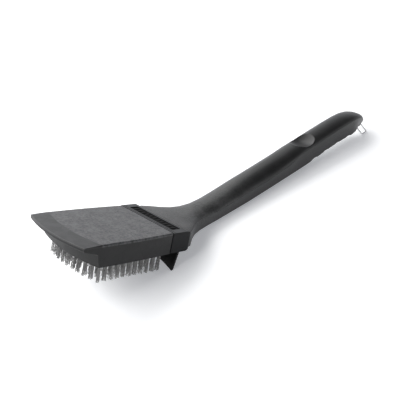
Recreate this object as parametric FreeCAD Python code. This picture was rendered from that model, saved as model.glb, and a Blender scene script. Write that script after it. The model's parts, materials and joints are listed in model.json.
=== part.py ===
import FreeCAD, Part
import os
from math import cos, pi, sin
from FreeCAD import Vector, Rotation, Placement

# Grill cleaning brush lying as it is put down on a table: it stands on the two
# points of its scraper and on the belly of its handle.
# Millimetres. +X runs from the head to the hanging hook, +Y across, +Z up.
# The origin is on the table, mid-width, half-way along the whole brush.

# ---------------------------------------------------------------- dimensions
JOINT_X = -128.85         # head/collar joint, measured from the origin
JOINT_Z = 37.76           # height of the head's top face at that joint
HEAD_PITCH = 20.05        # the front of the head is raised by this angle

HEAD_REAR_HALF = 38.0     # half width at the joint
HEAD_FRONT_HALF = 39.5    # half width at the lip
HEAD_MID_HALF = 40.3      # the sides swell to this between the two
LIP_X = -98.8             # lip corner, from the joint
LIP_BOW = 6.2             # how far the lip bulges forward in the middle
BEVEL_LENGTH = 17.6
BEVEL_DROP = 0.9
LIP_THICK = 3.3
EDGE_ROUND = 1.2          # long top edges of the head
BODY_FRONT_X = -81.8      # foot of the front face at its corners
BODY_DEPTH = 20.0
JOINT_GAP = 0.35          # half of the shadow gap between head and collar

BASE_TOP = -14.0          # bristle base, depths below the head's top face
BASE_BOTTOM = -19.4
BASE_FRONT_X = -78.6
BASE_REAR_X = -3.4
BASE_HALF = 35.0
BASE_BOW = 6.4

TUFT_ROWS = 11
TUFTS_ACROSS = 10
TUFT_PITCH_X = 6.62
TUFT_PITCH_Y = 7.4
TUFT_REAR_X = -8.6
TUFT_BOW = 5.0
TUFT_SIDES = 5
TUFT_ROOT_R = 1.5
TUFT_TIP_R = 2.3
TUFT_TIP = -36.7
HOLE_R = 1.8
HOLE_TOP = -15.0
STAPLE = (3.0, 0.5, 0.7)

SOCKET_LENGTH = 37.0
SOCKET_HALF = 25.2
SOCKET_TOP = -4.0
SOCKET_BOTTOM = -12.8
TONGUE_LENGTH = 35.0
TONGUE_HALF = 25.0
TONGUE_TOP = -4.2
TONGUE_BOTTOM = -12.6

COLLAR_HALF = 38.4
COLLAR_REAR = 25.1
COLLAR_DEPTH = 19.6
COLLAR_END_R = 4.5
ROOT_HALF = 30.0
PANEL = (5.2, 15.2, 31.0, 0.9)     # from x, to x, half length, depth

BLADE_THICK = 1.8
BLADE_TIP = (6.31, -37.9)
BLADE_BEND = (10.2, -19.6)
BLADE_HALF = 38.0
BLADE_ARCH = 6.2
BLADE_SCREWS = (-21.0, 0.0, 21.0)
BLADE_SCREW_X = 15.2
BLADE_REAR = 18.6

# Handle stations, x from the joint: underside height, half width at the
# underside, ridge height, half width at the ridge, crown height
HANDLE = [
    (6.0, 14.0, 36.2, 31.6, 37.6, 33.6),
    (14.0, 11.6, 36.0, 29.6, 37.6, 31.6),
    (22.0, 9.0, 33.6, 27.6, 36.6, 29.8),
    (29.0, 6.7, 27.2, 25.6, 31.8, 28.2),
    (36.0, 4.7, 21.2, 23.3, 26.2, 26.7),
    (44.0, 2.9, 16.0, 20.8, 20.8, 25.0),
    (54.0, 1.3, 12.4, 18.0, 17.0, 23.5),
    (66.0, 0.4, 11.0, 15.6, 15.2, 22.6),
    (80.0, 0.0, 10.8, 14.6, 15.0, 22.3),
    (96.0, 0.0, 10.8, 14.7, 15.0, 23.3),
    (110.0, 0.0, 10.8, 15.1, 15.0, 24.8),
    (126.0, 0.2, 10.8, 15.6, 15.0, 26.1),
    (148.0, 0.9, 10.8, 16.4, 15.0, 27.2),
    (173.0, 1.8, 10.8, 18.2, 15.0, 28.4),
    (196.0, 2.7, 10.8, 20.4, 14.9, 29.8),
    (211.0, 3.2, 10.8, 23.8, 14.0, 31.0),
    (228.0, 3.9, 10.8, 25.4, 13.5, 32.3),
    (246.0, 5.5, 10.8, 26.6, 13.4, 33.5),
    (266.0, 8.0, 10.8, 28.0, 13.4, 34.8),
    (288.0, 9.4, 10.8, 29.4, 13.4, 36.0),
    (306.0, 9.8, 10.8, 30.2, 13.4, 36.6),
    (320.0, 9.3, 10.6, 30.4, 13.1, 36.1),
    (331.0, 9.2, 8.4, 29.2, 12.0, 34.2),
    (338.0, 9.4, 5.6, 27.2, 10.6, 31.8),
    (344.0, 9.8, 3.8, 24.4, 8.8, 28.6),
    (349.0, 10.6, 2.9, 20.8, 6.6, 24.0),
    (353.5, 11.8, 2.2, 17.0, 4.2, 19.4),
    (356.8, 13.4, 1.2, 15.0, 1.8, 16.2),
]
PARTING = 0.12            # half the gap between the two shells
CROWN_SIDES = 12
CROWN_POWER = 0.92
WALL = 2.4
CORE_X = (110.0, 148.0, 196.0, 211.0, 246.0, 288.0, 320.0)   # stations of the hollow
HOLLOW_FROM = 72.0
HOLLOW_TO = 332.0
GRIP_FROM = 224.0         # from here on the floor is thicker, for the finger grooves
GRIP_FLOOR = 2.6
FINGERS = ((245.0, 3.5), (266.5, 2.6), (288.5, 2.6), (311.0, 2.9))   # x, depth
FINGER_R = 14.0
THUMB_X = 237.0
THUMB_R = 32.0
THUMB_DEPTH = 5.8
RIBS_X = (124.0, 154.0, 214.0, 250.0, 314.0)
BOSS_X = (92.0, 186.0, 290.0)

WIRE_R = 0.92
EYE_R = 0.99
BAIL_Z = 13.0             # axis on which the bail swings
BAIL_TOP = (341.6, 351.4)
BAIL_FOOT = (346.4, 356.9)
BAIL_SIDE = -7.7          # the bail leans to this side and rests on the table
BAIL_BEND = 1.32


# ------------------------------------------------------------------- helpers
def on_head(shape):
    """Carry a shape from the head's own frame to its place on the brush."""
    placed = shape.copy()
    tilt = Placement(Vector(0, 0, JOINT_Z), Rotation(Vector(0, 1, 0), HEAD_PITCH))
    placed.transformShape(tilt.toMatrix())
    return placed


def box(x0, x1, y0, y1, z0, z1):
    return Part.makeBox(x1 - x0, y1 - y0, z1 - z0, Vector(x0, y0, z0))


def rounded_wire(corners):
    """Closed wire through (point, radius) corners, each rounded by its radius."""
    edges = []
    starts = []
    count = len(corners)
    for i, (point, radius) in enumerate(corners):
        before = (corners[i - 1][0] - point).normalize()
        after = (corners[(i + 1) % count][0] - point).normalize()
        if radius <= 0:
            starts.append((point, point, None))
            continue
        half = before.getAngle(after) / 2
        reach = radius * cos(half) / sin(half)
        middle = (before + after).normalize()
        centre = point + middle * (radius / sin(half))
        on_arc = centre - middle * radius
        starts.append((point + before * reach, point + after * reach, on_arc))
    for i, (enter, leave, on_arc) in enumerate(starts):
        if on_arc is not None:
            edges.append(Part.Arc(enter, on_arc, leave).toShape())
        nxt = starts[(i + 1) % count][0]
        edges.append(Part.LineSegment(leave, nxt).toShape())
    return Part.Wire(edges)


def side_prism(corners, half):
    """Extrude an x-z outline of (x, z, radius) across the brush."""
    wire = rounded_wire([(Vector(x, -half, z), r) for x, z, r in corners])
    return Part.Face(wire).extrude(Vector(0, 2 * half, 0))


def plan_prism(corners, low, high):
    """Extrude an x-y outline of (x, y, radius) from one height to another."""
    wire = rounded_wire([(Vector(x, y, low), r) for x, y, r in corners])
    return Part.Face(wire).extrude(Vector(0, 0, high - low))


def bowed_plate(rear, front, half, bow, low, high):
    """Plate with a straight rear edge and a front edge that bulges forward."""
    a = Vector(rear, -half, low)
    b = Vector(front, -half, low)
    c = Vector(front, half, low)
    d = Vector(rear, half, low)
    nose = Vector(front - bow, 0, low)
    edges = [Part.LineSegment(a, b), Part.Arc(b, nose, c)]
    edges += [Part.LineSegment(c, d), Part.LineSegment(d, a)]
    wire = Part.Wire([e.toShape() for e in edges])
    return Part.Face(wire).extrude(Vector(0, 0, high - low))


def bow_at(y, half, bow):
    return -bow * (1 - (y / half) ** 2)


def rod(x, y, z, radius, length, along):
    return Part.makeCylinder(radius, length, Vector(x, y, z), along)


# ---------------------------------------------------------------------- head
def head_section(y):
    shift = bow_at(y, HEAD_FRONT_HALF, LIP_BOW)
    lip = LIP_X + shift
    foot = BODY_FRONT_X + shift
    corners = [
        (-JOINT_GAP, 0.0, 0.0),
        (lip + BEVEL_LENGTH, 0.0, 0.0),
        (lip, -BEVEL_DROP, 0.5),
        (lip + 0.5, -BEVEL_DROP - LIP_THICK, 0.8),
        (foot - 2.6, -8.2, 2.6),
        (foot, -BODY_DEPTH, 0.0),
        (-JOINT_GAP, -BODY_DEPTH, 0.0),
    ]
    return rounded_wire([(Vector(x, y, z), r) for x, z, r in corners])


def make_head_shell():
    ys = [-42.0 + 8.4 * k for k in range(11)]
    outer = Part.makeLoft([head_section(y) for y in ys], True, True)
    # sides that swell a little between the joint and the lip
    plan = []
    for side in (-1, 1):
        rear = Vector(2.0, side * (HEAD_REAR_HALF - 0.1), -24)
        swell = Vector(-48.0, side * HEAD_MID_HALF, -24)
        front = Vector(-108.0, side * (HEAD_FRONT_HALF - 0.3), -24)
        plan.append(Part.Arc(rear, swell, front).toShape())
    for end in (0, 1):
        right, left = [arc.Vertexes[end].Point for arc in plan[:2]]
        plan.append(Part.LineSegment(right, left).toShape())
    sides = Part.Face(Part.Wire(Part.__sortEdges__(plan))).extrude(Vector(0, 0, 24))
    long_edges = [e for e in sides.Edges if e.Length > 90 and abs(e.CenterOfMass.z) < 0.01]
    outer = outer.common(sides.makeFillet(EDGE_ROUND, long_edges))
    pocket = bowed_plate(BASE_REAR_X, BASE_FRONT_X, BASE_HALF, BASE_BOW, BASE_TOP, -24.0)
    socket = box(-SOCKET_LENGTH, 2.0, -SOCKET_HALF, SOCKET_HALF, SOCKET_BOTTOM, SOCKET_TOP)
    shell = outer.cut(pocket).cut(socket)
    # the head is cored out from below, leaving ribs under the top face
    cores = []
    for side in (-1, 1):
        y0, y1 = sorted((side * 27.4, side * 34.0))
        for x0, x1 in ((-19.0, -5.0), (-36.0, -21.0)):
            cores.append(box(x0, x1, y0, y1, BASE_TOP - 1, -3.6))
    for x0, x1 in ((-56.5, -39.0), (-76.5, -58.5)):
        for y0, y1 in ((-34.0, -12.4), (-10.6, 10.6), (12.4, 34.0)):
            cores.append(box(x0, x1, y0, y1, BASE_TOP - 1, -3.6))
    return shell.cut(Part.makeCompound(cores))


def tuft_places():
    rows = []
    half = TUFT_PITCH_Y * (TUFTS_ACROSS - 1) / 2
    for row in range(TUFT_ROWS):
        bow = TUFT_BOW * row / (TUFT_ROWS - 1)
        places = []
        for k in range(TUFTS_ACROSS):
            y = -half + k * TUFT_PITCH_Y
            x = TUFT_REAR_X - row * TUFT_PITCH_X + bow_at(y, half, bow)
            places.append((x, y))
        rows.append(places)
    return rows


def make_bristle_base(rows):
    plate = bowed_plate(BASE_REAR_X, BASE_FRONT_X, BASE_HALF, BASE_BOW, BASE_BOTTOM, BASE_TOP)
    holes = []
    for places in rows:
        for x, y in places:
            mouth = Part.Face(bundle_ring(x, y, BASE_BOTTOM - 1, HOLE_R))
            holes.append(mouth.extrude(Vector(0, 0, HOLE_TOP - BASE_BOTTOM + 1)))
    return plate.cut(Part.makeCompound(holes))


def bundle_ring(x, y, z, radius):
    points = []
    for k in range(TUFT_SIDES):
        angle = (2 * k + 1) * pi / TUFT_SIDES
        points.append(Vector(x + radius * cos(angle), y + radius * sin(angle), z))
    return Part.makePolygon(points + points[:1])


def make_tuft(x, y):
    """One bundle of wires, held tight at the root and opening to its tip."""
    root = bundle_ring(x, y, HOLE_TOP - STAPLE[2], TUFT_ROOT_R)
    tip = bundle_ring(x, y, TUFT_TIP, TUFT_TIP_R)
    faces = [Part.Face(root), Part.Face(tip)]
    for a, b in zip(root.Edges, tip.Edges):
        corners = [a.Vertexes[0].Point, a.Vertexes[1].Point, b.Vertexes[1].Point, b.Vertexes[0].Point]
        faces.append(Part.Face(Part.makePolygon(corners + corners[:1])))
    return Part.Solid(Part.Shell(faces))


def make_staple(x, y):
    length, thick, height = STAPLE
    low = HOLE_TOP - height
    return box(x - thick / 2, x + thick / 2, y - length / 2, y + length / 2, low, HOLE_TOP)


# -------------------------------------------------------------------- collar
def collar_profile(grow=0.0):
    front = JOINT_GAP - grow
    rear = COLLAR_REAR + grow
    low = -COLLAR_DEPTH - grow
    return [
        (front, grow, 0.5),
        (rear, grow, 8.0 + grow),
        (rear, low, 7.4 + grow),
        (front, low, 0.5),
    ]


def make_collar():
    body = side_prism(collar_profile(), COLLAR_HALF)
    ends = plan_prism([(JOINT_GAP, -COLLAR_HALF, 0), (COLLAR_REAR, -COLLAR_HALF, COLLAR_END_R),
                       (COLLAR_REAR, COLLAR_HALF, COLLAR_END_R), (JOINT_GAP, COLLAR_HALF, 0)], -30, 10)
    body = body.common(ends)
    # sleeve opening for the root of the handle, blade seat and screw holes
    body = body.cut(box(-2, 30, -ROOT_HALF, ROOT_HALF, SOCKET_BOTTOM - 0.2, SOCKET_TOP + 0.2))
    seat = box(BLADE_BEND[0] - 2.4, BLADE_REAR + 0.2, -35.6, 35.6, -24, -COLLAR_DEPTH + BLADE_THICK)
    body = body.cut(seat)
    for y in BLADE_SCREWS:
        body = body.cut(rod(BLADE_SCREW_X, y, -24, 2.05, 13, Vector(0, 0, 1)))
    # long sunk panel with a plain row of raised bars, and the fine joint line
    x0, x1, half, depth = PANEL
    sunk = plan_prism([(x0, -half, 1.2), (x1, -half, 1.2), (x1, half, 1.2), (x0, half, 1.2)], -depth, 3)
    body = body.cut(sunk)
    body = body.cut(box(2.6, 3.2, -COLLAR_HALF - 1, COLLAR_HALF + 1, -0.45, 2))
    bars = []
    for k in range(11):
        y = -26.0 + k * 5.2
        bars.append(box(x0 + 2.0, x1 - 2.0, y - 1.1, y + 1.1, -depth - 0.3, -0.25))
    return body.fuse(bars).removeSplitter()


def on_table():
    """The room below the table top, seen from the head's own frame."""
    below = box(-60, 60, -60, 60, -40, 0)
    tilt = Placement(Vector(0, 0, JOINT_Z), Rotation(Vector(0, 1, 0), HEAD_PITCH))
    below.transformShape(tilt.inverse().toMatrix())
    return below


def make_scraper_blade():
    tip_x, tip_z = BLADE_TIP
    bend_x, bend_z = BLADE_BEND
    profile = [
        (BLADE_REAR, -COLLAR_DEPTH, 0.0),
        (bend_x + BLADE_THICK, bend_z, 0.6),
        (tip_x + BLADE_THICK, tip_z, 0.0),
        (tip_x, tip_z, 0.0),
        (bend_x, bend_z + BLADE_THICK, 1.2),
        (BLADE_REAR, -COLLAR_DEPTH + BLADE_THICK, 0.0),
    ]
    sheet = side_prism(profile, BLADE_HALF)
    for side in (-1, 1):
        y0, y1 = sorted((side * 35.4, side * 60))
        sheet = sheet.cut(box(-5, 30, y0, y1, -COLLAR_DEPTH - 0.05, 5))
    # hollow-ground lower edge that leaves a point at each end
    reach = BLADE_HALF - 0.7
    radius = (reach ** 2 + BLADE_ARCH ** 2) / (2 * BLADE_ARCH)
    arch = rod(-20, 0, tip_z + BLADE_ARCH - radius, radius, 60, Vector(1, 0, 0))
    arch = arch.common(box(-20, 40, -60, 60, -60, -24))
    sheet = sheet.cut(arch)
    # the two points are ground flat on the table
    sheet = sheet.cut(on_table())
    for y in BLADE_SCREWS:
        sheet = sheet.cut(rod(BLADE_SCREW_X, y, -30, 2.1, 20, Vector(0, 0, 1)))
    return sheet


def flat_sided(sides, radius, low, high, x=0.0):
    """Upright prism on the brush's middle line, its corners at the given radius."""
    turns = [2 * pi * k / sides for k in range(sides)]
    corners = [Vector(x + radius * cos(turn), radius * sin(turn), low) for turn in turns]
    return Part.Face(Part.makePolygon(corners + corners[:1])).extrude(Vector(0, 0, high - low))


def make_screw(shank_r, shank, head_r, head):
    """Screw pointing up, the seat of its head at height zero."""
    return flat_sided(8, shank_r, 0, shank).fuse(flat_sided(12, head_r, -head, 0))


# -------------------------------------------------------------------- handle
def upper_section(station):
    """Domed crown above the parting line, a little fuller than half an ellipse."""
    x, low, low_half, ridge, ridge_half, crown = station
    foot = ridge + PARTING
    points = []
    for k in range(CROWN_SIDES + 1):
        angle = pi * k / CROWN_SIDES
        across = abs(cos(angle)) ** CROWN_POWER * ridge_half
        rise = sin(angle) ** CROWN_POWER * (crown - foot) if 0 < k < CROWN_SIDES else 0.0
        points.append(Vector(x, across if 2 * k < CROWN_SIDES else -across, foot + rise))
    return Part.makePolygon(points + points[:1])


def lower_section(station):
    """Flat underside and leaning sides, up to the parting line."""
    x, low, low_half, ridge, ridge_half, crown = station
    top = ridge - PARTING
    r = min(2.0, low_half * 0.5)
    corner = Vector(x, low_half, low)
    right = Vector(x, ridge_half, top)
    up = (right - corner).normalize()
    points = [corner + Vector(0, -r, 0), corner + up * r, right]
    points += [Vector(p.x, -p.y, p.z) for p in reversed(points)]
    return Part.makePolygon(points + points[:1])


def core_section(station, inset):
    """Straight-sided outline of the hollow, inside the outer one by inset."""
    x, low, low_half, ridge, ridge_half, crown = station
    height = crown - inset - ridge
    half = ridge_half - inset
    foot = low_half - inset
    outline = [(foot, low + inset), (half, ridge)]
    outline += [(half * 0.72, ridge + height * 0.7), (half * 0.3, ridge + height * 0.97)]
    points = [Vector(x, y, z) for y, z in outline]
    points += [Vector(x, -y, z) for y, z in reversed(outline)]
    return Part.makePolygon(points + points[:1])


def between(x):
    """Handle measures at any x, read straight between the stations."""
    for a, b in zip(HANDLE, HANDLE[1:]):
        if a[0] <= x <= b[0]:
            t = (x - a[0]) / (b[0] - a[0])
            return tuple(p + (q - p) * t for p, q in zip(a, b))
    return HANDLE[-1]


def handle_core(inset):
    """Inside of the handle, with a thicker floor under the fingers."""
    wires = []
    for x in (HOLLOW_FROM,) + CORE_X + (HOLLOW_TO,):
        station = list(between(x))
        if x > GRIP_FROM:
            station[1] += GRIP_FLOOR
        wires.append(core_section(station, inset))
    return Part.makeLoft(wires, True, True)


def below_ridge(shift):
    """Everything under the parting line, moved up by shift."""
    line = [Vector(x, -60, ridge + shift) for x, low, low_half, ridge, ridge_half, crown in HANDLE]
    line += [Vector(HANDLE[-1][0] + 30, -60, line[-1].z), Vector(HANDLE[-1][0] + 30, -60, -20)]
    line += [Vector(HANDLE[0][0], -60, -20)]
    return Part.Face(Part.makePolygon(line + line[:1])).extrude(Vector(0, 120, 0))


def collar_clearance():
    """Room taken by the collar and by all that is in front of it."""
    ring = side_prism(collar_profile(0.12), 60)
    ahead = box(-30, BLADE_REAR + 0.2, -60, 60, -40, 30)
    return on_head(ring.fuse(ahead))


def thumb_scoop(grow=0.0):
    crown = between(THUMB_X)[5]
    height = crown + THUMB_R - THUMB_DEPTH
    return rod(THUMB_X, -30, height, THUMB_R + grow, 60, Vector(0, 1, 0))


def finger_scoops():
    scoops = []
    for x, depth in FINGERS:
        low = between(x)[1]
        scoops.append(rod(x, -30, low - FINGER_R + depth, FINGER_R, 60, Vector(0, 1, 0)))
    return Part.makeCompound(scoops)


def bail_room():
    """Bore for the bail, and the kerf and open tip in which its legs swing."""
    kerf = box(BAIL_TOP[0] - 1.5, BAIL_TOP[0] + 3.6, -30, 30, 0, BAIL_Z + 1.5)
    tip = box(BAIL_TOP[1] - 1.4, 372, -30, 30, 0, BAIL_Z + 1.5)
    eye = rod(BAIL_TOP[0] - 1, 0, BAIL_Z, EYE_R, 14, Vector(1, 0, 0))
    return Part.makeCompound([kerf, tip, eye])


def make_handle_parts():
    room = Part.makeCompound([collar_clearance(), thumb_scoop(), finger_scoops(), bail_room()])
    lower = Part.makeLoft([lower_section(s) for s in HANDLE], True, True).cut(room)
    upper = Part.makeLoft([upper_section(s) for s in HANDLE], True, True).cut(room)

    base = lower.cut(handle_core(WALL))
    inner_room = handle_core(WALL + 0.15)
    ribs = []
    for x in RIBS_X:
        ribs.append(box(x - 0.8, x + 0.8, -30, 30, -5, 60))
    for x in BOSS_X:
        ribs.append(flat_sided(12, 4.3, -5, 55, x))
    ribs = Part.makeCompound(ribs).common(handle_core(WALL - 0.3)).common(below_ridge(-1.0))
    # upstanding inner lip that centres the upper shell
    lip = inner_room.cut(handle_core(WALL + 1.35)).common(below_ridge(1.4)).cut(below_ridge(-2.2))
    lip = lip.cut(thumb_scoop(WALL + 0.2))
    lip_root = handle_core(WALL - 0.3).cut(handle_core(WALL + 1.35))
    lip_root = lip_root.common(below_ridge(-0.4)).cut(below_ridge(-2.6))
    base = base.fuse([ribs, lip, lip_root])

    root = box(JOINT_GAP, 34, -ROOT_HALF + 0.1, ROOT_HALF - 0.1, TONGUE_BOTTOM, TONGUE_TOP)
    tongue = plan_prism(
        [(1, -TONGUE_HALF, 0), (-TONGUE_LENGTH, -TONGUE_HALF, 3), (-TONGUE_LENGTH, TONGUE_HALF, 3),
         (1, TONGUE_HALF, 0)], TONGUE_BOTTOM, TONGUE_TOP)
    slots = [box(-30, -8, y - 3, y + 3, -20, 0) for y in (-15.0, 0.0, 15.0)]
    tongue = tongue.cut(Part.makeCompound(slots))
    base = base.fuse([on_head(root), on_head(tongue)])

    top = upper.cut(handle_core(WALL).cut(thumb_scoop(WALL)))
    posts = []
    for x in BOSS_X:
        posts.append(flat_sided(12, 4.3, -5, 55, x))
    posts = Part.makeCompound(posts).common(handle_core(WALL - 0.3)).cut(below_ridge(PARTING)).common(upper)
    top = top.fuse(posts)
    top = top.cut(on_head(root))
    base = base.cut(top)

    for x in BOSS_X:
        low = between(x)[1]
        ridge = between(x)[3]
        base = base.cut(flat_sided(12, 3.7, low - 6, low + 3.2, x))
        base = base.cut(flat_sided(8, 1.7, low - 6, ridge + 0.5, x))
        top = top.cut(flat_sided(8, 1.55, low - 6, ridge + 5.2, x))
    for y in BLADE_SCREWS:
        base = base.cut(on_head(rod(BLADE_SCREW_X, y, -24, 1.92, 17, Vector(0, 0, 1))))
    return base, top


def make_handle_screws():
    screws = []
    for x in BOSS_X:
        low = between(x)[1]
        ridge = between(x)[3]
        screw = make_screw(1.5, ridge - low + 1.2, 3.3, 1.9)
        screw.translate(Vector(x, 0, low + 3.2))
        screws.append(screw)
    return Part.makeCompound(screws)


def make_scraper_screws():
    screws = []
    for y in BLADE_SCREWS:
        screw = make_screw(1.92, 11.4, 2.8, 2.0)
        screw.translate(Vector(BLADE_SCREW_X, y, -COLLAR_DEPTH))
        screws.append(on_head(screw))
    return Part.makeCompound(screws)


# ---------------------------------------------------------------------- bail
def bent_wire(path, radius, bend):
    """Eight-sided wire along straight runs, each corner taken in two mitres."""
    points = [path[0]]
    for before, corner, after in zip(path, path[1:], path[2:]):
        into = (before - corner).normalize()
        out = (after - corner).normalize()
        half = into.getAngle(out) / 2
        reach = bend * cos(half) / sin(half)
        points += [corner + into * reach, corner + out * reach]
    points.append(path[-1])
    across = Vector(0, radius, 0)
    turn = Rotation(path[1] - path[0], 45)
    ring = []
    for _ in range(8):
        ring.append(path[0] + across)
        across = turn.multVec(across)
    return Part.makePolygon(points).makePipeShell([Part.makePolygon(ring + ring[:1])], True, False, 1)


def make_bail():
    """Closed wire loop: a straight top run in the handle, two legs and a foot."""
    foot_z = WIRE_R + 0.04
    top_a = Vector(BAIL_TOP[0], 0, BAIL_Z)
    top_b = Vector(BAIL_TOP[1], 0, BAIL_Z)
    foot_a = Vector(BAIL_FOOT[0], BAIL_SIDE, foot_z)
    foot_b = Vector(BAIL_FOOT[1], BAIL_SIDE, foot_z)
    top = (top_a + top_b) * 0.5
    foot = (foot_a + foot_b) * 0.5
    front = bent_wire([top, top_b, foot_b, foot], WIRE_R, BAIL_BEND)
    rear = bent_wire([foot, foot_a, top_a, top], WIRE_R, BAIL_BEND)
    start = BAIL_TOP[0] + 2 * BAIL_BEND
    journal = rod(start, 0, BAIL_Z, WIRE_R, BAIL_TOP[1] - BAIL_BEND - start, Vector(1, 0, 0))
    return front.fuse([rear, journal])


# --------------------------------------------------------------------- build
def write(name, shape):
    placed = shape.copy()
    placed.translate(Vector(JOINT_X, 0, 0))
    placed.exportStep("parts/" + name + ".step")
    bb = placed.BoundBox
    span = [round(v, 2) for v in (bb.XMin, bb.XMax, bb.YMin, bb.YMax, bb.ZMin, bb.ZMax)]
    print(name, placed.isValid(), len(placed.Solids), round(placed.Volume), span)


os.makedirs("parts", exist_ok=True)
rows = tuft_places()
write("head_shell", on_head(make_head_shell()))
write("bristle_base", on_head(make_bristle_base(rows)))
for number, places in enumerate(rows, 1):
    tufts = [make_tuft(x, y) for x, y in places]
    write("tuft_row_%02d" % number, on_head(Part.makeCompound(tufts)))
staples = [make_staple(x, y) for places in rows for x, y in places]
write("tuft_staples", on_head(Part.makeCompound(staples)))
write("collar", on_head(make_collar()))
write("scraper_blade", on_head(make_scraper_blade()))
write("scraper_screws", make_scraper_screws())
handle_base, handle_top = make_handle_parts()
write("handle_base", handle_base)
write("handle_top", handle_top)
write("handle_screws", make_handle_screws())
write("hanging_bail", make_bail())
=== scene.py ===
import json
import math
import random

import bmesh
import bpy
from mathutils import Matrix, Vector


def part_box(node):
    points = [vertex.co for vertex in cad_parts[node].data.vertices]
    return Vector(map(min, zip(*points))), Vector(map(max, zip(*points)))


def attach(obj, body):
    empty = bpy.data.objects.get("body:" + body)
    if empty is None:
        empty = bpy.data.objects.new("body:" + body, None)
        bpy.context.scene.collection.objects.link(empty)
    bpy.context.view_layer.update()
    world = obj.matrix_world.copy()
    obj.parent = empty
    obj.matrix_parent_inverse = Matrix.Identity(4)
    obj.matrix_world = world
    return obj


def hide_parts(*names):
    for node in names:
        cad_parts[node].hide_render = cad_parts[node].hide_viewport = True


# Grill cleaning brush lying on a pale table. The head, the collar, the scraper and the
# lower handle shell come from the frame. The upper shell with its thumb dish, the
# bristle wires, the hanging loop and the screws are made here in full detail.
# Metres, in the frame's own axes: +X from the head to the loop, +Y across, +Z up.

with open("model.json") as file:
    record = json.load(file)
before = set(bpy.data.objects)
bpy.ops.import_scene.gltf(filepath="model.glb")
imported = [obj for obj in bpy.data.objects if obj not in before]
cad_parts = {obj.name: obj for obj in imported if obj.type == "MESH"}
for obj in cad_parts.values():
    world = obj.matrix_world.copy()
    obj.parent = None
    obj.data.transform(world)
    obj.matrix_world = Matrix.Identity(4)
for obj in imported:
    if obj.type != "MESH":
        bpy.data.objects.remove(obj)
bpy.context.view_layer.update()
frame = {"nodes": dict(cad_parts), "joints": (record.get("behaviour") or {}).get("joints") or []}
nodes = frame["nodes"]

MM = 0.001
ALONG = Vector((1.0, 0.0, 0.0))
ACROSS = Vector((0.0, 1.0, 0.0))
UPRIGHT = Vector((0.0, 0.0, 1.0))

# ------------------------------------------------------------------ head's frame
# The head is pitched: BACK runs from the lip to the handle along its top face,
# UP stands square on that face, and both start at the head/collar joint.
HEAD_PITCH = math.radians(20.05)
JOINT = Vector((-128.85, 0.0, 37.76)) * MM
BACK = Vector((math.cos(HEAD_PITCH), 0.0, -math.sin(HEAD_PITCH)))
UP = Vector((math.sin(HEAD_PITCH), 0.0, math.cos(HEAD_PITCH)))
LIP_CORNER = -98.8 * MM      # along BACK
LIP_HALF = 39.5 * MM
LIP_BOW = 6.2 * MM           # how far the lip bulges forward in the middle
BEVEL = 17.6 * MM            # length of the smooth bevel behind the lip


# ----------------------------------------------------------------------- shading
class Wire:
    """One output socket. Sums and products of these add the Math nodes."""

    def __init__(self, owner, socket):
        self.owner = owner
        self.socket = socket

    def maths(self, operation, *values):
        return self.owner.node("ShaderNodeMath", {"operation": operation}, dict(enumerate(values)))

    def __add__(self, other):
        return self.maths("ADD", self, other)

    def __sub__(self, other):
        return self.maths("SUBTRACT", self, other)

    def __mul__(self, other):
        return self.maths("MULTIPLY", self, other)

    def __radd__(self, other):
        return self.maths("ADD", other, self)

    def __rsub__(self, other):
        return self.maths("SUBTRACT", other, self)

    def __rmul__(self, other):
        return self.maths("MULTIPLY", other, self)

    def __abs__(self):
        return self.maths("ABSOLUTE", self)

    def between(self, low, high):
        """0 below low, 1 above high, and smooth from one to the other."""
        sockets = {"Value": self, "From Min": low, "From Max": high}
        return self.owner.node("ShaderNodeMapRange", {"interpolation_type": "SMOOTHSTEP"}, sockets)


class Nodes:
    """A node tree, and the one way in which its nodes are added."""

    def __init__(self, tree):
        self.tree = tree
        self.tree.nodes.clear()

    def put(self, socket, value):
        if isinstance(value, Wire):
            self.tree.links.new(value.socket, socket)
        else:
            socket.default_value = value

    def node(self, kind, settings, sockets, out=0):
        """Add a node: its settings first, then its sockets, by name or by number."""
        made = self.tree.nodes.new(kind)
        for name, value in settings.items():
            setattr(made, name, value)
        for key, value in sockets.items():
            self.put(made.inputs[key], value)
        return Wire(self, made.outputs[out]) if made.outputs else None

    def along(self, direction, start=(0.0, 0.0, 0.0)):
        """Distance of the surface from a point, along a direction."""
        ends = {0: self.place, 1: tuple(start)}
        offset = self.node("ShaderNodeVectorMath", {"operation": "SUBTRACT"}, ends)
        arrows = {0: offset, 1: tuple(direction)}
        return self.node("ShaderNodeVectorMath", {"operation": "DOT_PRODUCT"}, arrows, "Value")


class Finish(Nodes):
    """A material with one Principled shader, and the nodes that feed it."""

    def __init__(self, name, **constants):
        self.material = bpy.data.materials.new(name)
        self.material.use_nodes = True
        super().__init__(self.material.node_tree)
        surface = self.node("ShaderNodeBsdfPrincipled", {}, {}, "BSDF")
        self.shader = surface.socket.node
        self.node("ShaderNodeOutputMaterial", {}, {"Surface": surface})
        self.place = self.node("ShaderNodeTexCoord", {}, {}, "Object")
        self.feed(**constants)

    def noise(self, scale, detail=2.0, rough=0.5):
        sockets = {"Vector": self.place, "Scale": scale, "Detail": detail, "Roughness": rough}
        return self.node("ShaderNodeTexNoise", {}, sockets, "Fac")

    def cells(self, scale):
        sockets = {"Vector": self.place, "Scale": scale}
        return self.node("ShaderNodeTexVoronoi", {"feature": "F1"}, sockets, "Distance")

    def mix(self, mask, first, second):
        """Colour that goes from first to second with the mask."""
        factor, colour_a, colour_b, result = 0, 6, 7, 2
        sockets = {factor: mask, colour_a: first, colour_b: second}
        return self.node("ShaderNodeMix", {"data_type": "RGBA"}, sockets, result)

    def bump(self, height, distance, strength):
        sockets = {"Height": height, "Distance": distance, "Strength": strength}
        self.feed(Normal=self.node("ShaderNodeBump", {}, sockets))

    def feed(self, **sockets):
        for name, value in sockets.items():
            self.put(self.shader.inputs[name.replace("_", " ")], value)


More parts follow.
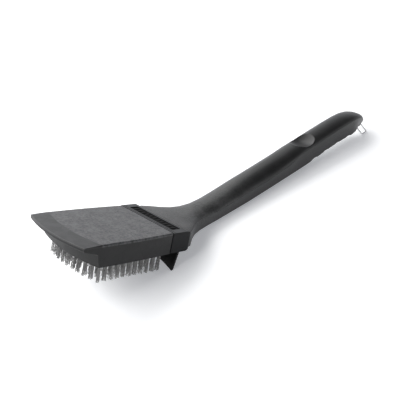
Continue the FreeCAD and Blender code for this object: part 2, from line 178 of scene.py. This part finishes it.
NEUTRAL = (1.0, 1.0, 1.0)
COLD = (1.0, 1.0, 1.03)
COLDER = (1.0, 1.0, 1.04)


def grey(level, tint=NEUTRAL):
    return (level * tint[0], level * tint[1], level * tint[2], 1.0)


def grained_head():
    """Charcoal resin: a grained, mottled top face, and a plain smoother bevel by the lip. The mottle is
    the resin's own, but the top face and its bevel are painted lighter than the sides as painted light
    from above, and a thin band along the lip's top edge is a painted highlight.
    """
    f = Finish("grained charcoal head resin", IOR=1.34)
    side = f.along(ACROSS) * (1.0 / LIP_HALF)
    bow = (1.0 - side * side) * LIP_BOW
    from_lip = f.along(BACK, JOINT) + bow - LIP_CORNER
    bevel = 1.0 - from_lip.between(BEVEL - 1.2 * MM, BEVEL + 0.6 * MM)
    # A thin band along the lip's top edge, painted lighter below: a painted highlight.
    edge = 1.0 - from_lip.between(0.4 * MM, 1.9 * MM)
    top = f.along(UP, JOINT).between(-2.4 * MM, -1.2 * MM)
    grained = top * (1.0 - bevel)
    clouds = f.noise(110.0, detail=3.0, rough=0.62).between(0.36, 0.66)
    mottle = f.noise(430.0, detail=3.0, rough=0.65).between(0.30, 0.70)
    grain = f.noise(1900.0, rough=0.6)
    pits = f.cells(1150.0)
    # The sides get a darker grey than the bevel on top: painted shade on the sides, painted light on top.
    plain = f.mix(bevel * top, grey(0.009, COLD), grey(0.022, COLDER))
    blotch = clouds * 0.45 + mottle * 0.55
    # Random mottle of the resin's own, on a level lifted well above the sides' by painted light from
    # above.
    top_mottle_and_painted_light = f.mix(blotch, grey(0.022, COLDER), grey(0.120, COLD))
    face = f.mix(grained, plain, top_mottle_and_painted_light)
    # The band along the lip's top edge is a painted highlight.
    f.feed(Base_Color=f.mix(edge * top, face, grey(0.05)))
    f.feed(Roughness=0.40 + 0.02 * grained + 0.06 * clouds + 0.04 * grain)
    relief = (grain * 0.4 + pits * 0.3 + mottle * 1.1) * (0.12 + 0.88 * grained) + clouds * 0.4
    f.bump(relief, 0.20 * MM, 0.6)
    return f.material


def grained_handle():
    """Charcoal resin: coarse, paler grain towards the head that fades out towards a darker grip; the
    paler colour there is partly that grain and partly painted sheen.
    """
    f = Finish("grained charcoal handle resin", IOR=1.42)
    # Mask that is 1 by the head and 0 along the grip; it carries the coarse grain and the painted sheen.
    neck_grain_and_painted_sheen = 1.0 - f.along(ALONG).between(-75.0 * MM, 40.0 * MM)
    grain = f.noise(2100.0, rough=0.6)
    pits = f.cells(1300.0)
    clouds = f.noise(70.0, detail=3.0, rough=0.6).between(0.35, 0.7)
    mottle = f.noise(520.0, detail=3.0, rough=0.65).between(0.30, 0.70)
    tone = 0.6 * clouds + 0.4 * mottle
    # Grip colour and a paler one by the head: the paler one is partly coarse grain and partly painted
    # sheen.
    dark = f.mix(tone, grey(0.010), grey(0.016))
    pale = f.mix(tone, grey(0.022), grey(0.070))
    f.feed(Base_Color=f.mix(neck_grain_and_painted_sheen, dark, pale))
    f.feed(Roughness=0.35 + 0.05 * neck_grain_and_painted_sheen + 0.06 * grain + 0.05 * clouds)
    f.bump((grain * 0.5 + pits * 0.3 + mottle * 0.7) * (0.4 + 0.6 * neck_grain_and_painted_sheen), 0.20 * MM, 0.5)
    return f.material


PANEL_FROM = 5.1 * MM        # the collar's sunk panel, along BACK
PANEL_TO = 15.3 * MM
PANEL_HALF = 31.3 * MM
PANEL_FADE = 0.3 * MM


def smooth_collar():
    """Glossier black resin with a trace of blue and faint moulding streaks, dull in its panel."""
    f = Finish("smooth black collar resin", IOR=1.23)
    streaks = f.noise(60.0, detail=3.0, rough=0.55)
    fine = f.noise(1400.0, detail=1.0)
    back = f.along(BACK, JOINT)
    past_front = back.between(PANEL_FROM, PANEL_FROM + PANEL_FADE)
    past_rear = back.between(PANEL_TO - PANEL_FADE, PANEL_TO)
    past_side = abs(f.along(ACROSS)).between(PANEL_HALF - PANEL_FADE, PANEL_HALF)
    above = f.along(UP, JOINT).between(-0.2 * MM, -0.05 * MM)
    sunk = past_front * (1.0 - past_rear) * (1.0 - past_side) * (1.0 - above)
    resin = f.mix(streaks, grey(0.005, (0.95, 1.0, 1.15)), grey(0.008, (0.94, 1.0, 1.18)))
    f.feed(Base_Color=f.mix(sunk, resin, grey(0.002)))
    f.feed(Roughness=0.32 + 0.08 * streaks + 0.30 * sunk)
    f.bump(fine * 0.3 + streaks * 0.7, 0.05 * MM, 0.3)
    return f.material


def bristle_plate():
    """Plain black resin with a little dust."""
    f = Finish("plain black bristle plate", IOR=1.5)
    dust = f.noise(260.0, detail=3.0, rough=0.6).between(0.45, 0.75)
    f.feed(Base_Color=f.mix(dust, grey(0.012), grey(0.024)))
    f.feed(Roughness=0.5 + 0.12 * dust)
    f.bump(f.noise(900.0), 0.06 * MM, 0.4)
    return f.material


def coated_blade():
    """Black baked coating on sheet steel, thin and rubbed on its lowest edge."""
    f = Finish("black coated scraper steel", IOR=1.28)
    rub = f.noise(420.0, detail=3.0, rough=0.65)
    height = f.along(UPRIGHT) + rub * (1.2 * MM)
    bare = (1.0 - height.between(0.7 * MM, 1.5 * MM)) * 0.8
    f.feed(Base_Color=f.mix(bare, grey(0.003), grey(0.30)))
    f.feed(Metallic=bare)
    f.feed(Roughness=0.38 + 0.12 * rub)
    f.bump(f.noise(1500.0), 0.04 * MM, 0.35)
    return f.material


def steel(name, level, rough, tint=NEUTRAL, streak=0.25):
    """Bare steel with a drawn or plated surface, darker by the streak in places."""
    f = Finish(name, Metallic=1.0)
    patches = f.noise(900.0, rough=0.6)
    f.feed(Base_Color=f.mix(patches, grey(level * (1.0 - streak), tint), grey(level, tint)))
    f.feed(Roughness=rough + 0.12 * patches)
    f.bump(f.noise(5200.0, detail=1.0), 0.02 * MM, 0.3)
    return f.material


head_resin = grained_head()
handle_resin = grained_handle()
collar_resin = smooth_collar()
plate_resin = bristle_plate()
blade_coating = coated_blade()
bristle_steel = steel("bright crimped bristle steel", 0.40, 0.28, tint=(1.0, 0.99, 0.98), streak=0.55)
bail_steel = steel("bright drawn loop wire", 0.86, 0.14, tint=(1.0, 1.0, 0.99), streak=0.15)
screw_steel = steel("zinc plated screw steel", 0.62, 0.30, tint=(1.0, 1.0, 1.02))
staple_steel = steel("plain staple steel", 0.55, 0.36)


# ----------------------------------------------------------- pieces of the frame
WELD_WITHIN = 0.01 * MM
FLAT_WITHIN = math.radians(0.8)      # facets that meet flatter than this are one face
CREASE = math.radians(32.0)          # edges sharper than this are rounded
FINE_EDGE = 0.15 * MM


def smooth(mesh):
    for polygon in mesh.polygons:
        polygon.use_smooth = True


def soften(thing, round_by, weld=True):
    """Joined facets, softened edges and smooth curved faces."""
    if weld:
        join = thing.modifiers.new("join facets", "WELD")
        join.merge_threshold = WELD_WITHIN
    flat = thing.modifiers.new("whole faces", "DECIMATE")
    flat.decimate_type = "DISSOLVE"
    flat.angle_limit = FLAT_WITHIN
    edge = thing.modifiers.new("soft edges", "BEVEL")
    edge.width = round_by
    edge.segments = 2
    edge.limit_method = "ANGLE"
    edge.angle_limit = CREASE
    shade = thing.modifiers.new("even shading", "WEIGHTED_NORMAL")
    shade.keep_sharp = False
    shade.weight = 60


def dress(name, material, round_by=FINE_EDGE):
    """Give a frame node its finish and its softened edges."""
    node = nodes[name]
    node.data.materials.clear()
    node.data.materials.append(material)
    smooth(node.data)
    soften(node, round_by)


dress("head_shell", head_resin, round_by=0.35 * MM)
dress("bristle_base", plate_resin)
dress("collar", collar_resin, round_by=0.3 * MM)
dress("scraper_blade", blade_coating)
dress("handle_base", handle_resin)
dress("tuft_staples", staple_steel)


# -------------------------------------------------------------------- new meshes
def new_mesh(name, verts, faces):
    mesh = bpy.data.meshes.new(name)
    mesh.from_pydata(verts, [], faces)
    return mesh


def show(name, data):
    thing = bpy.data.objects.new(name, data)
    bpy.context.scene.collection.objects.link(thing)
    return thing


def piece(name, mesh, material, body, replaced):
    """A new smooth piece that rides on a body and stands for a frame node."""
    mesh.materials.clear()
    mesh.materials.append(material)
    smooth(mesh)
    made = show(name, mesh)
    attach(made, body)
    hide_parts(replaced)
    return made


def ring_turns(sides):
    return [2 * math.pi * k / sides for k in range(sides)]


def tube(verts, faces, path, radius, sides, closed=False):
    """Add a round tube along a path, its section turned with the path."""
    first = len(verts)
    count = len(path)
    side = None
    for i, point in enumerate(path):
        before = path[i - 1] if closed or i > 0 else point
        after = path[(i + 1) % count] if closed or i < count - 1 else point
        ahead = (after - before).normalized()
        if side is None:
            side = ahead.orthogonal().normalized()
        side = (side - ahead * side.dot(ahead)).normalized()
        other = ahead.cross(side)
        for turn in ring_turns(sides):
            verts.append(point + (side * math.cos(turn) + other * math.sin(turn)) * radius)
    for i in range(count if closed else count - 1):
        a = first + i * sides
        b = first + ((i + 1) % count) * sides
        for k in range(sides):
            n = (k + 1) % sides
            faces.append((a + k, a + n, b + n, b + k))
    if not closed:
        faces.append(tuple(first + k for k in reversed(range(sides))))
        faces.append(tuple(first + (count - 1) * sides + k for k in range(sides)))


def tidied(mesh, join):
    """The mesh with close points joined and its faces turned outward."""
    shape = bmesh.new()
    shape.from_mesh(mesh)
    bmesh.ops.remove_doubles(shape, verts=shape.verts, dist=join)
    bmesh.ops.recalc_face_normals(shape, faces=shape.faces)
    shape.to_mesh(mesh)
    shape.free()
    return mesh


def combine(base, tool, operation, tool_overlaps=False):
    """New mesh of one solid joined with, cut by or kept inside another."""
    solid = show("solid", base)
    other = show("tool", tool)
    step = solid.modifiers.new("combine", "BOOLEAN")
    step.operation = operation
    step.solver = "EXACT"
    step.use_self = tool_overlaps
    step.object = other
    bpy.context.view_layer.update()
    made = bpy.data.meshes.new_from_object(solid.evaluated_get(bpy.context.evaluated_depsgraph_get()))
    bpy.data.objects.remove(solid)
    bpy.data.objects.remove(other)
    return made


# -------------------------------------------------------------------- thumb rest
# The upper shell around the thumb, in millimetres from the joint: x, height of the
# parting, half width there, and height of the crown.
CROWN = (
    (211.0, 23.92, 14.0, 31.0),
    (228.0, 25.52, 13.5, 32.3),
    (246.0, 26.72, 13.4, 33.5),
    (266.0, 28.12, 13.4, 34.8),
)
CROWN_SIDES = 12
CROWN_POWER = 0.92
FLUSH = 0.9985                   # the fill stays a hair inside the shell's skin
GROOVE = (237.0, 59.1)           # the frame's plain cross groove: x and height of its axis
FILL_R = 33.2                    # a little more than the groove's own radius
FILL_HALF = 20.0
FILL_SIDES = 96
SHELL_JOIN = 0.01 * MM           # close points joined before the dish is sunk
DISH_JOIN = 0.02 * MM            # and after it
DISH = (232.5, 27.2)             # lowest point of the oval dish
DISH_CURVE = (24.7, 34.4, 24.7)  # half axes of the ball that leaves it
BALL_SIDES = (128, 96)


def to_row(x, y, z):
    """Millimetres, with x from the joint, to metres in the frame."""
    return Vector((x * MM + JOINT.x, y * MM, z * MM))


def closed_rings(rings):
    """Mesh of a solid from like rings of points, with flat ends."""
    count = len(rings[0])
    verts = [p for ring in rings for p in ring]
    faces = [tuple(range(count)), tuple(reversed(range(len(verts) - count, len(verts))))]
    for i in range(len(rings) - 1):
        for k in range(count):
            n = (k + 1) % count
            a = i * count
            faces.append((a + n, a + k, a + count + k, a + count + n))
    return tidied(new_mesh("rings", verts, faces), 0.0)


def crown_ring(x, foot, half, crown):
    """The upper shell's outer outline, closed at the parting."""
    ring = []
    for k in range(CROWN_SIDES + 1):
        angle = math.pi * k / CROWN_SIDES
        across = abs(math.cos(angle)) ** CROWN_POWER * half
        rise = math.sin(angle) ** CROWN_POWER * (crown - foot) if 0 < k < CROWN_SIDES else 0.0
        side = FLUSH if 2 * k < CROWN_SIDES else -FLUSH
        ring.append(to_row(x, across * side, foot + rise * FLUSH))
    return ring


def groove_bar():
    """Round bar across the handle that takes up the frame's groove."""
    x, z = GROOVE
    rings = []
    for y in (-FILL_HALF, FILL_HALF):
        turns = ring_turns(FILL_SIDES)
        rings.append([to_row(x + FILL_R * math.cos(t), y, z + FILL_R * math.sin(t)) for t in turns])
    return closed_rings(rings)


def dish_ball():
    """The ball that sinks the dish, with its poles to the sides."""
    centre = to_row(DISH[0], 0.0, DISH[1] + DISH_CURVE[2])
    shape = bmesh.new()
    bmesh.ops.create_uvsphere(shape, u_segments=BALL_SIDES[0], v_segments=BALL_SIDES[1], radius=1.0)
    for v in shape.verts:
        x, y, z = v.co.yzx
        v.co = Vector((x * DISH_CURVE[0], y * DISH_CURVE[1], z * DISH_CURVE[2])) * MM + centre
    bmesh.ops.recalc_face_normals(shape, faces=shape.faces)
    mesh = bpy.data.meshes.new("ball")
    shape.to_mesh(mesh)
    shape.free()
    return mesh


def upper_shell():
    """The frame's upper shell with its cross groove filled and an oval dish sunk instead."""
    shell = tidied(nodes["handle_top"].data.copy(), SHELL_JOIN)
    crown = closed_rings([crown_ring(*station) for station in CROWN])
    filled = combine(shell, combine(crown, groove_bar(), "INTERSECT"), "UNION")
    return tidied(combine(filled, dish_ball(), "DIFFERENCE"), DISH_JOIN)


shell = piece("upper_handle_shell", upper_shell(), handle_resin, "handle", "handle_top")
soften(shell, FINE_EDGE, weld=False)


# -------------------------------------------------------------------- wire tufts
TUFTS_ACROSS = 10
WIRES = 22                       # in each tuft
WIRE_R = 0.19 * MM
WIRE_SIDES = 4
ROOT_R = 1.3 * MM                # the wires stand within this radius at the root
SPREAD = (1.5, 2.0)              # how many times as far out they end
STRAY = 0.2 * MM
SHORT_BY = (-0.1 * MM, 0.9 * MM)
CRIMP_LENGTH = 3.1 * MM
CRIMP_DEPTH = 0.27 * MM
CRIMP_FROM = 0.12                # the share of a wire that is straight in its hole
CRIMP_GROWTH = 5.0
STEPS = 23
SEED = 4100
ROUNDING = 1e-9


def tuft_ends(node):
    """Root and tip centres of each tuft in a row, read from the frame."""
    points = [v.co for v in node.data.vertices]
    low = min(p.y for p in points)
    high = max(p.y for p in points)
    pitch = (high - low) / TUFTS_ACROSS
    found = []
    for k in range(TUFTS_ACROSS):
        own = [p for p in points if low + k * pitch <= p.y < low + (k + 1) * pitch + ROUNDING]
        middle = sum(((p - JOINT).dot(UP) for p in own)) / len(own)
        roots = [p for p in own if (p - JOINT).dot(UP) > middle]
        tips = [p for p in own if (p - JOINT).dot(UP) <= middle]
        found.append((sum(roots, Vector()) / len(roots), sum(tips, Vector()) / len(tips)))
    return found


def sideways(turn):
    """Direction square on the tufts, at a turn from straight across."""
    return ACROSS * math.cos(turn) + BACK * math.sin(turn)


def crimped_wire(verts, faces, root, tip, chance):
    """One wire, straight in its hole and bent in a flat zigzag below it."""
    fan = sideways(chance.uniform(0, 2 * math.pi))
    root_out = math.sqrt(chance.uniform(0.0, 1.0)) * ROOT_R
    tip_out = root_out * chance.uniform(*SPREAD) + chance.uniform(0, STRAY)
    start = root + fan * root_out
    end = tip + fan * tip_out + UP * chance.uniform(*SHORT_BY)
    wave = sideways(chance.uniform(0, math.pi))
    phase = chance.uniform(0, 1)
    length = (end - start).length
    path = []
    for i in range(STEPS):
        t = i / (STEPS - 1)
        cycle = (t * length / CRIMP_LENGTH + phase) % 1.0
        zigzag = 4 * abs(cycle - 0.5) - 1
        strength = min(1.0, max(0.0, (t - CRIMP_FROM) * CRIMP_GROWTH))
        path.append(start.lerp(end, t) + wave * zigzag * CRIMP_DEPTH * strength)
    tube(verts, faces, path, WIRE_R, WIRE_SIDES)


for row_name in sorted(n for n in nodes if n.startswith("tuft_row_")):
    number = int(row_name[-2:])
    chance = random.Random(SEED + number)
    verts = []
    faces = []
    for root, tip in tuft_ends(nodes[row_name]):
        for _ in range(WIRES):
            crimped_wire(verts, faces, root, tip, chance)
    name = "bristle_wires_%02d" % number
    piece(name, new_mesh(name, verts, faces), bristle_steel, "head", row_name)


# ------------------------------------------------------------------ hanging loop
LOOP_BEND = 1.32 * MM
LOOP_SIDES = 20
BEND_STEPS = 7
TOP_RUN = (212.75 * MM, 222.55 * MM)      # the straight run in the handle's bore
FOOT_RUN = (217.55 * MM, 228.05 * MM)     # the run that rests on the table


def rounded_loop(corners, radius):
    """Closed path through the corners, each taken as an arc."""
    path = []
    for i, corner in enumerate(corners):
        into = (corners[i - 1] - corner).normalized()
        out = (corners[(i + 1) % len(corners)] - corner).normalized()
        half = into.angle(out) / 2
        reach = radius / math.tan(half)
        middle = (into + out).normalized()
        centre = corner + middle * (radius / math.sin(half))
        start = corner + into * reach - centre
        sweep = math.pi - 2 * half
        axis = start.cross(corner + out * reach - centre).normalized()
        for k in range(BEND_STEPS):
            path.append(centre + Matrix.Rotation(sweep * k / (BEND_STEPS - 1), 3, axis) @ start)
    return path


def loop_mesh():
    """The closed wire loop, as thick as the frame's own and on its hinge's axis."""
    low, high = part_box("hanging_bail")
    radius = high.y
    axis_z = next(j["pos_m"][2] for j in frame["joints"] if j["name"] == "bail_swing")
    foot_y = low.y + radius
    foot_z = low.z + radius
    corners = [Vector((x, 0.0, axis_z)) for x in TOP_RUN]
    corners += [Vector((x, foot_y, foot_z)) for x in reversed(FOOT_RUN)]
    verts = []
    faces = []
    tube(verts, faces, rounded_loop(corners, LOOP_BEND), radius, LOOP_SIDES, closed=True)
    return new_mesh("hanging_loop", verts, faces)


piece("hanging_loop", loop_mesh(), bail_steel, "bail", "hanging_bail")


# ------------------------------------------------------------------------ screws
# Pan head from its crown to its seat, as shares of the head's radius and height.
PAN_HEAD = ((0.0, 1.0), (0.45, 1.0), (0.78, 0.86), (0.95, 0.55), (1.0, 0.2), (0.98, 0.0))
THREAD_PITCH = 0.9 * MM
THREAD_CREST = 0.4               # share of a turn from the thread's root to its crest
THREAD_ROOT = 0.84               # shares of the shank's radius
SHANK_NECK = 0.86
SHANK_POINT = 0.55
POINT_FROM = 0.96                # share of the shank's length
JOIN_WITHIN = 0.001 * MM
SCREW_SIDES = 28
CROSS_ARM = 0.58                 # half length and half width, as shares of the head's radius
CROSS_SLOT = 0.13
CROSS_TAPER = 0.55
CROSS_DEPTH = 1.5                # height of the cutter, as a share of the head's
SHARP = math.radians(40.0)
SCREWS = 3                       # in each node


def cross_cutter(head_r, head):
    """Two crossed bars, narrower at the bottom of the recess."""
    arm = head_r * CROSS_ARM
    slot = head_r * CROSS_SLOT
    shape = bmesh.new()
    for x, y in ((arm, slot), (slot, arm)):
        for v in bmesh.ops.create_cube(shape, size=1.0)["verts"]:
            taper = 1.0 if v.co.z < 0 else CROSS_TAPER
            height = v.co.z * head * CROSS_DEPTH - head
            v.co = Vector((v.co.x * 2 * x * taper, v.co.y * 2 * y * taper, height))
    mesh = bpy.data.meshes.new("cross")
    shape.to_mesh(mesh)
    shape.free()
    return mesh


def screw_mesh(shank_r, shank, head_r, head):
    """Pan-head screw pointing up, with a rolled thread and a cross recess."""
    profile = [(head_r * r, -head * z) for r, z in PAN_HEAD]
    profile.append((shank_r * SHANK_NECK, 0.0))
    turns = int(shank / THREAD_PITCH)
    for k in range(turns):
        z = shank * (k + 0.5) / (turns + 1)
        profile += [(shank_r * THREAD_ROOT, z), (shank_r, z + shank * THREAD_CREST / (turns + 1))]
    profile += [(shank_r * SHANK_POINT, shank * POINT_FROM), (0.0, shank)]
    verts = []
    faces = []
    for r, z in profile:
        verts += [Vector((r * math.cos(turn), r * math.sin(turn), z)) for turn in ring_turns(SCREW_SIDES)]
    for i in range(len(profile) - 1):
        a = i * SCREW_SIDES
        b = a + SCREW_SIDES
        for k in range(SCREW_SIDES):
            n = (k + 1) % SCREW_SIDES
            faces.append((a + k, a + n, b + n, b + k))
    body = tidied(new_mesh("screw", verts, faces), JOIN_WITHIN)
    return combine(body, cross_cutter(head_r, head), "DIFFERENCE", tool_overlaps=True)


def place_screws(name, replaced, axis, up, shank_r, head_r, head):
    """Stand for a node's equal screws, which lie in a row along one axis of the frame."""
    points = sorted((v.co for v in nodes[replaced].data.vertices), key=lambda p: p[axis])
    size = len(points) // SCREWS
    turn = up.to_track_quat("Z", "Y").to_matrix()
    verts = []
    faces = []
    for i in range(SCREWS):
        group = points[i * size:(i + 1) * size]
        seat = min(p.dot(up) for p in group) + head
        length = max(p.dot(up) for p in group) - seat
        foot = sum(group, Vector()) / size
        foot += up * (seat - foot.dot(up))
        mesh = screw_mesh(shank_r, length, head_r, head)
        first = len(verts)
        verts += [turn @ v.co + foot for v in mesh.vertices]
        faces += [tuple(first + k for k in p.vertices) for p in mesh.polygons]
    made = piece(name, new_mesh(name, verts, faces), screw_steel, "handle", replaced)
    made.data.set_sharp_from_angle(angle=SHARP)


place_screws("scraper_cross_screws", "scraper_screws", 1, UP, 1.92 * MM, 2.8 * MM, 2.0 * MM)
place_screws("handle_cross_screws", "handle_screws", 0, UPRIGHT, 1.5 * MM, 3.3 * MM, 1.9 * MM)


# --------------------------------------------------------------- table and light
COOL = (0.965, 0.985, 1.03)      # colour of the light that comes from all round
TABLE_HALF = 9.0
TABLE_GLOW = 0.30                # a faint light from the table keeps the shadows soft
CEILING = 0.08                   # how bright each side of the studio is
ROOM = 0.16
PAPER = 1.10
LEFT = 0.40


def pale_table():
    """Matt and almost white, with a faint glow of its own."""
    f = Finish("pale matt table", IOR=1.3, Specular_IOR_Level=0.1, Roughness=0.9,
               Emission_Color=COOL + (1.0,), Emission_Strength=TABLE_GLOW)
    f.feed(Base_Color=f.mix(f.noise(3.0), grey(0.86), grey(0.88)))
    return f.material


table_corners = [(x * TABLE_HALF, y * TABLE_HALF, 0.0) for x, y in ((-1, -1), (1, -1), (1, 1), (-1, 1))]
table_mesh = new_mesh("table", table_corners, [(0, 1, 2, 3)])
table_mesh.materials.append(pale_table())
show("table", table_mesh)


def softbox(name, place, aim, size, power):
    light = bpy.data.lights.new(name, "AREA")
    light.shape = "RECTANGLE"
    light.size = size[0]
    light.size_y = size[1]
    light.energy = power
    lamp = show(name, light)
    lamp.location = place
    lamp.rotation_euler = (Vector(aim) - Vector(place)).to_track_quat("-Z", "Y").to_euler()


softbox("softbox_left", place=(-1.35, 0.45, 1.25), aim=(0.0, 0.0, 0.05), size=(1.6, 1.6), power=36.0)
softbox("softbox_back", place=(0.1, 1.4, 1.3), aim=(0.05, 0.0, 0.05), size=(2.4, 1.4), power=34.0)


def studio_air():
    """Bright paper behind the table, a dim ceiling, and a dim room on the camera's side."""
    world = bpy.data.worlds.new("studio")
    world.use_nodes = True
    air = Nodes(world.node_tree)
    air.place = air.node("ShaderNodeTexCoord", {}, {}, "Generated")
    behind = air.along((0.60, 0.80, 0.0)).between(-0.35, 0.75)
    left = air.along(-ALONG).between(0.1, 0.9)
    low = 1.0 - air.along(UPRIGHT).between(0.12, 0.62)
    glow = CEILING + low * (ROOM + PAPER * behind + LEFT * left)
    tone = air.node("ShaderNodeCombineColor", {}, {i: glow * share for i, share in enumerate(COOL)})
    light = air.node("ShaderNodeBackground", {}, {"Color": tone})
    air.node("ShaderNodeOutputWorld", {}, {"Surface": light})
    return world


bpy.context.scene.world = studio_air()
bpy.context.scene.view_settings.view_transform = "Standard"

# ------------------------------------------------------------------------ camera
CAMERA_PLACE = Vector((-0.43562, -0.41259, 0.35383))
HEADING = math.radians(47.656)
DOWN = math.radians(30.373)
ROLL = math.radians(-3.909)
LENS = 57.974
SENSOR = 36.0

ahead = Vector((math.cos(DOWN) * math.cos(HEADING), math.cos(DOWN) * math.sin(HEADING), -math.sin(DOWN)))
level = Vector((math.sin(HEADING), -math.cos(HEADING), 0.0))
over = level.cross(ahead)
right = level * math.cos(ROLL) + over * math.sin(ROLL)
top = over * math.cos(ROLL) - level * math.sin(ROLL)
facing = Matrix((right, top, -ahead)).transposed()
camera_data = bpy.data.cameras.new("camera")
camera_data.sensor_width = SENSOR
camera_data.lens = LENS
camera = show("camera", camera_data)
camera.matrix_world = Matrix.Translation(CAMERA_PLACE) @ facing.to_4x4()
bpy.context.scene.camera = camera

# -------------------------------------------------------------------------- update
bpy.context.view_layer.update()
